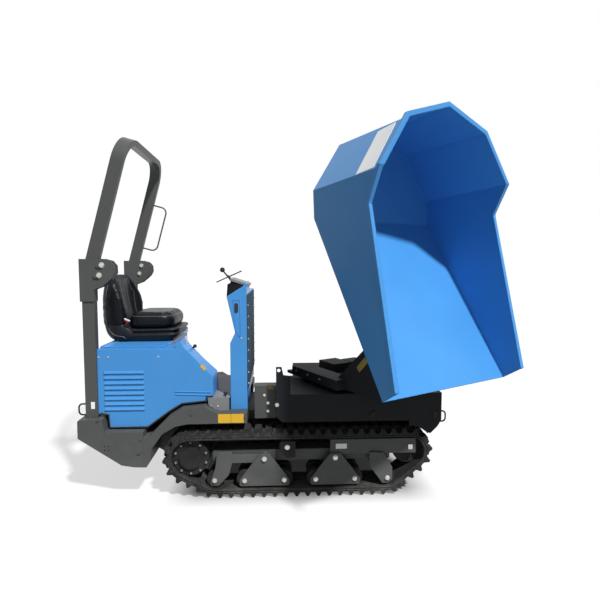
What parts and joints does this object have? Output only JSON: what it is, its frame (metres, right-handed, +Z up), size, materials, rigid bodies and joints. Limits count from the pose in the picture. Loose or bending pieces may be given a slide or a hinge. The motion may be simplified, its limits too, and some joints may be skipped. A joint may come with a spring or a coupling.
{
  "type": "tracked site dumper",
  "caption": "Ride-on site dumper on rubber tracks, with a swivelling forward-tipping skip, a ram, a folding roll bar and a tilting seat plate.",
  "frame": {"origin": "on the ground under the middle of the machine, midway between its tracks", "axes": "+X forward towards the skip, +Y to the left of the machine, +Z up"},
  "size_m": [2.7853, 1.8251, 2.417],
  "materials": {
    "blue_paint": "gloss",
    "grey_paint": "satin",
    "dark_paint": "satin",
    "zinc": "satin",
    "cast_steel": "matte",
    "track_rubber": "matte",
    "black_plastic": "matte",
    "seat_vinyl": "satin"
  },
  "bodies": {
    "chassis": {"ball_lever": "black_plastic", "carrier_roller_left": "zinc", "carrier_roller_right": "zinc", "console": "blue_paint", "console_guard": "grey_paint", "counterweight": "grey_paint", "cross_lever": "black_plastic", "dash_panel": "black_plastic", "engine_block": "cast_steel", "engine_hood": "blue_paint", "fender_left": "grey_paint", "fender_right": "grey_paint", "footboard": "grey_paint", "front_frame": "dark_paint", "idler_left": "cast_steel", "idler_right": "cast_steel", "lifting_plates": "dark_paint", "main_frame": "grey_paint", "roll_bar_post_left": "grey_paint", "roll_bar_post_right": "grey_paint", "roller_plates_left": "grey_paint", "roller_plates_right": "grey_paint", "slewing_ring": "dark_paint", "sprocket_left": "cast_steel", "sprocket_right": "cast_steel", "tie_down_rings": "zinc", "track_frame_left": "grey_paint", "track_frame_right": "grey_paint", "track_left": "track_rubber", "track_right": "track_rubber", "track_rollers_left": "cast_steel", "track_rollers_right": "cast_steel", "valve_box": "grey_paint"},
    "seat_unit": {"seat_plate": "grey_paint", "seat_suspension": "black_plastic", "seat_cushion": "seat_vinyl", "seat_back": "seat_vinyl"},
    "hoop": {"roll_bar_hoop": "grey_paint", "grab_handle": "grey_paint"},
    "swing_frame": {"swivel_base": "dark_paint", "tip_arm_right": "dark_paint", "tip_arm_left": "dark_paint"},
    "ram_cylinder": {"ram_barrel": "dark_paint"},
    "ram_piston": {"ram_rod": "zinc"},
    "skip_unit": {"skip": "blue_paint", "skip_brackets": "blue_paint"}
  },
  "joints": [
    {"name": "skip_swivel", "type": "hinge", "parent": "chassis", "child": "swing_frame", "pos_m": [0.294, 0, 0.7], "axis": [0, 0, 1], "range_deg": [-29.7, 150.3]},
    {"name": "skip_tip", "type": "hinge", "parent": "swing_frame", "child": "skip_unit", "pos_m": [0.68194, -0.68014, 1.078], "axis": [0.8686, 0.4955, 0], "range_deg": [-86.3, 0]},
    {"name": "ram_pivot", "type": "hinge", "parent": "swing_frame", "child": "ram_cylinder", "pos_m": [0.66807, -0.65582, 0.83], "axis": [0.8686, 0.4955, 0], "range_deg": [-75.17, 0.5]},
    {"name": "ram_stroke", "type": "slide", "parent": "ram_cylinder", "child": "ram_piston", "axis": [-0.1804, 0.3162, 0.9314], "range_m": [-0.31331, 0.002]},
    {"name": "roll_bar_fold", "type": "hinge", "parent": "chassis", "child": "hoop", "pos_m": [-1.263, 0, 1.527], "axis": [0, 1, 0], "range_deg": [0, 75]},
    {"name": "seat_tilt", "type": "hinge", "parent": "chassis", "child": "seat_unit", "pos_m": [-1.287, 0, 0.991], "axis": [0, -1, 0], "range_deg": [0, 50]}
  ],
  "couplings": [
    {"joint": "ram_pivot", "follows": "skip_tip", "ratio": 0.86525},
    {"joint": "ram_stroke", "follows": "skip_tip", "m_per_rad": 0.20668}
  ]
}
